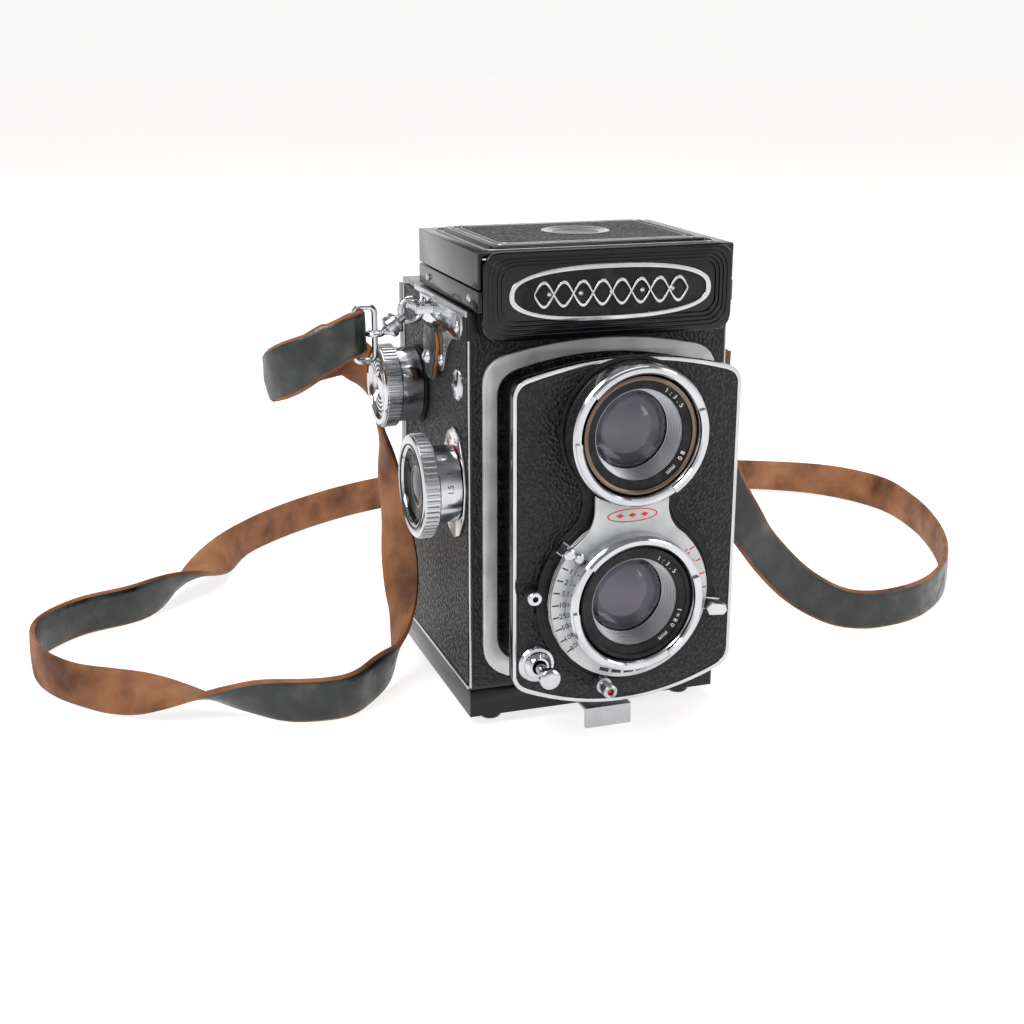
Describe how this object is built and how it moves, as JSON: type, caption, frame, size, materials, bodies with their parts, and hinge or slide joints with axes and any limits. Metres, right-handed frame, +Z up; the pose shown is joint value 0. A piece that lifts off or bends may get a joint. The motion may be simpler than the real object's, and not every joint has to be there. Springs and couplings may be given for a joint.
{
  "type": "twin lens reflex camera",
  "caption": "Box-shaped twin lens reflex roll-film camera with a folding focusing hood, sliding lens board, side winding knobs and a leather neck strap.",
  "frame": {"origin": "underside of the tripod plate, on the body's middle plane", "axes": "+Z up; the lenses look along -Y; the winding knobs are on the -X side"},
  "size_m": [0.3221, 0.2419, 0.124],
  "materials": {
    "black_enamel": "glossy black stoved enamel, worn to bright metal on the edges",
    "grey_paint": "satin silver-grey lacquer with black and red figures",
    "chrome": "polished and satin chrome plate with small scratches",
    "cast_metal": "blackened pressed and cast metal",
    "inner_black": "matt and semi-gloss black",
    "mirror_glass": "front-silvered mirror",
    "coated_glass": "polished lens glass with a violet-blue coating",
    "ground_glass": "finely ground glass",
    "red_glass": "deep red film-number window",
    "body_leather": "black pebbled leather covering",
    "strap_leather": "worn black strap leather with a tan flesh side and tan edges"
  },
  "bodies": {
    "camera_body": {"body_shell": "black_enamel", "back_hinge_pin": "chrome", "light_chamber": "inner_black", "reflex_mirror": "mirror_glass", "mirror_frame": "cast_metal", "focusing_screen": "ground_glass", "film_roller_upper": "chrome", "film_roller_lower": "chrome", "face_frame": "grey_paint", "focus_index_plate": "chrome", "advance_collar": "chrome", "hood_base": "black_enamel", "name_plate": "black_enamel", "lug_plate_left": "chrome", "lug_plate_right": "chrome", "snap_hook_left": "chrome", "snap_hook_right": "chrome", "strap_ring_left": "chrome", "strap_ring_right": "chrome", "neck_strap": "strap_leather"},
    "back": {"back_door": "black_enamel", "tripod_plate": "chrome", "tripod_socket": "chrome", "foot_1": "black_enamel", "foot_2": "black_enamel", "foot_3": "black_enamel", "foot_4": "black_enamel", "red_window": "red_glass"},
    "pressure_plate": {"pressure_plate": "cast_metal"},
    "window_cover": {"window_cover": "black_enamel"},
    "back_latch": {"back_latch": "chrome"},
    "lens_unit": {"lens_board": "black_enamel", "lens_surround": "inner_black", "shutter_plate": "grey_paint", "viewing_bayonet": "chrome", "taking_bayonet": "chrome", "viewing_cell": "inner_black", "taking_cell": "inner_black", "viewing_lens": "coated_glass", "taking_lens": "coated_glass", "shutter_blades": "cast_metal", "flash_socket": "chrome", "release_collar": "chrome"},
    "speed_lever": {"speed_ring": "chrome"},
    "aperture_lever": {"aperture_ring": "chrome"},
    "cocking_lever": {"cocking_lever": "chrome"},
    "release_button": {"release_button": "chrome"},
    "focus_knob": {"focus_knob": "chrome"},
    "film_advance": {"advance_knob": "chrome", "take_up_spool": "cast_metal"},
    "spool_knob_upper": {"spool_knob_upper": "chrome"},
    "spool_knob_lower": {"spool_knob_lower": "chrome"},
    "hood_lid": {"hood_lid": "black_enamel", "magnifier_frame": "inner_black", "magnifier_lens": "coated_glass"},
    "hood_side_left": {"hood_side_left": "black_enamel"},
    "hood_side_right": {"hood_side_right": "black_enamel"},
    "hood_back_panel": {"hood_back_panel": "black_enamel"}
  },
  "joints": [
    {"name": "back_hinge", "type": "hinge", "parent": "camera_body", "child": "back", "pos_m": [0, 0.033, 0.1066], "axis": [1, 0, 0], "range_deg": [0, 100]},
    {"name": "pressure_plate_spring", "type": "slide", "parent": "back", "child": "pressure_plate", "axis": [0, 1, 0], "range_m": [0, 0.0015], "stiffness_N_per_m": 600, "springref_m": -0.002},
    {"name": "window_cover_slide", "type": "slide", "parent": "back", "child": "window_cover", "axis": [1, 0, 0], "range_m": [0, 0.013]},
    {"name": "back_latch_pull", "type": "slide", "parent": "back", "child": "back_latch", "axis": [0, -1, 0], "range_m": [0, 0.0024], "stiffness_N_per_m": 500, "springref_m": -0.002},
    {"name": "focus_turn", "type": "hinge", "parent": "camera_body", "child": "focus_knob", "pos_m": [-0.04, -0.0195, 0.0635], "axis": [-1, 0, 0], "range_deg": [0, 270]},
    {"name": "lens_board_travel", "type": "slide", "parent": "camera_body", "child": "lens_unit", "axis": [0, -1, 0], "range_m": [0, 0.007]},
    {"name": "speed_turn", "type": "hinge", "parent": "lens_unit", "child": "speed_lever", "pos_m": [0, -0.0514, 0.0399], "axis": [0, -1, 0], "range_deg": [0, 80]},
    {"name": "aperture_turn", "type": "hinge", "parent": "lens_unit", "child": "aperture_lever", "pos_m": [0, -0.0505, 0.0399], "axis": [0, -1, 0], "range_deg": [0, 50]},
    {"name": "cocking_turn", "type": "hinge", "parent": "lens_unit", "child": "cocking_lever", "pos_m": [0, -0.0505, 0.0399], "axis": [0, -1, 0], "range_deg": [0, 25], "stiffness_Nm_per_rad": 0.02, "springref_deg": -17.19},
    {"name": "release_press", "type": "slide", "parent": "lens_unit", "child": "release_button", "axis": [0, 1, 0], "range_m": [0, 0.003], "stiffness_N_per_m": 300, "springref_m": -0.002},
    {"name": "advance_turn", "type": "hinge", "parent": "camera_body", "child": "film_advance", "pos_m": [-0.04, 0.0147, 0.0822], "axis": [1, 0, 0], "continuous": true},
    {"name": "spool_pull_upper", "type": "slide", "parent": "camera_body", "child": "spool_knob_upper", "axis": [1, 0, 0], "range_m": [0, 0.005], "stiffness_N_per_m": 400, "springref_m": -0.002},
    {"name": "spool_pull_lower", "type": "slide", "parent": "camera_body", "child": "spool_knob_lower", "axis": [1, 0, 0], "range_m": [0, 0.005], "stiffness_N_per_m": 400, "springref_m": -0.002},
    {"name": "hood_lid_hinge", "type": "hinge", "parent": "camera_body", "child": "hood_lid", "pos_m": [0, -0.0341, 0.1225], "axis": [1, 0, 0], "range_deg": [0, 90]},
    {"name": "hood_side_left_hinge", "type": "hinge", "parent": "camera_body", "child": "hood_side_left", "pos_m": [-0.0312, 0, 0.113], "axis": [0, -1, 0], "range_deg": [0, 90]},
    {"name": "hood_side_right_hinge", "type": "hinge", "parent": "camera_body", "child": "hood_side_right", "pos_m": [0.0312, 0, 0.113], "axis": [0, 1, 0], "range_deg": [0, 90]},
    {"name": "hood_back_hinge", "type": "hinge", "parent": "camera_body", "child": "hood_back_panel", "pos_m": [0, 0.015, 0.1114], "axis": [-1, 0, 0], "range_deg": [0, 90]}
  ],
  "couplings": [
    {"joint": "focus_turn", "follows": "lens_board_travel", "rad_per_m": 673},
    {"joint": "hood_side_left_hinge", "follows": "hood_lid_hinge", "ratio": 1},
    {"joint": "hood_side_right_hinge", "follows": "hood_lid_hinge", "ratio": 1},
    {"joint": "hood_back_hinge", "follows": "hood_lid_hinge", "ratio": 1}
  ]
}
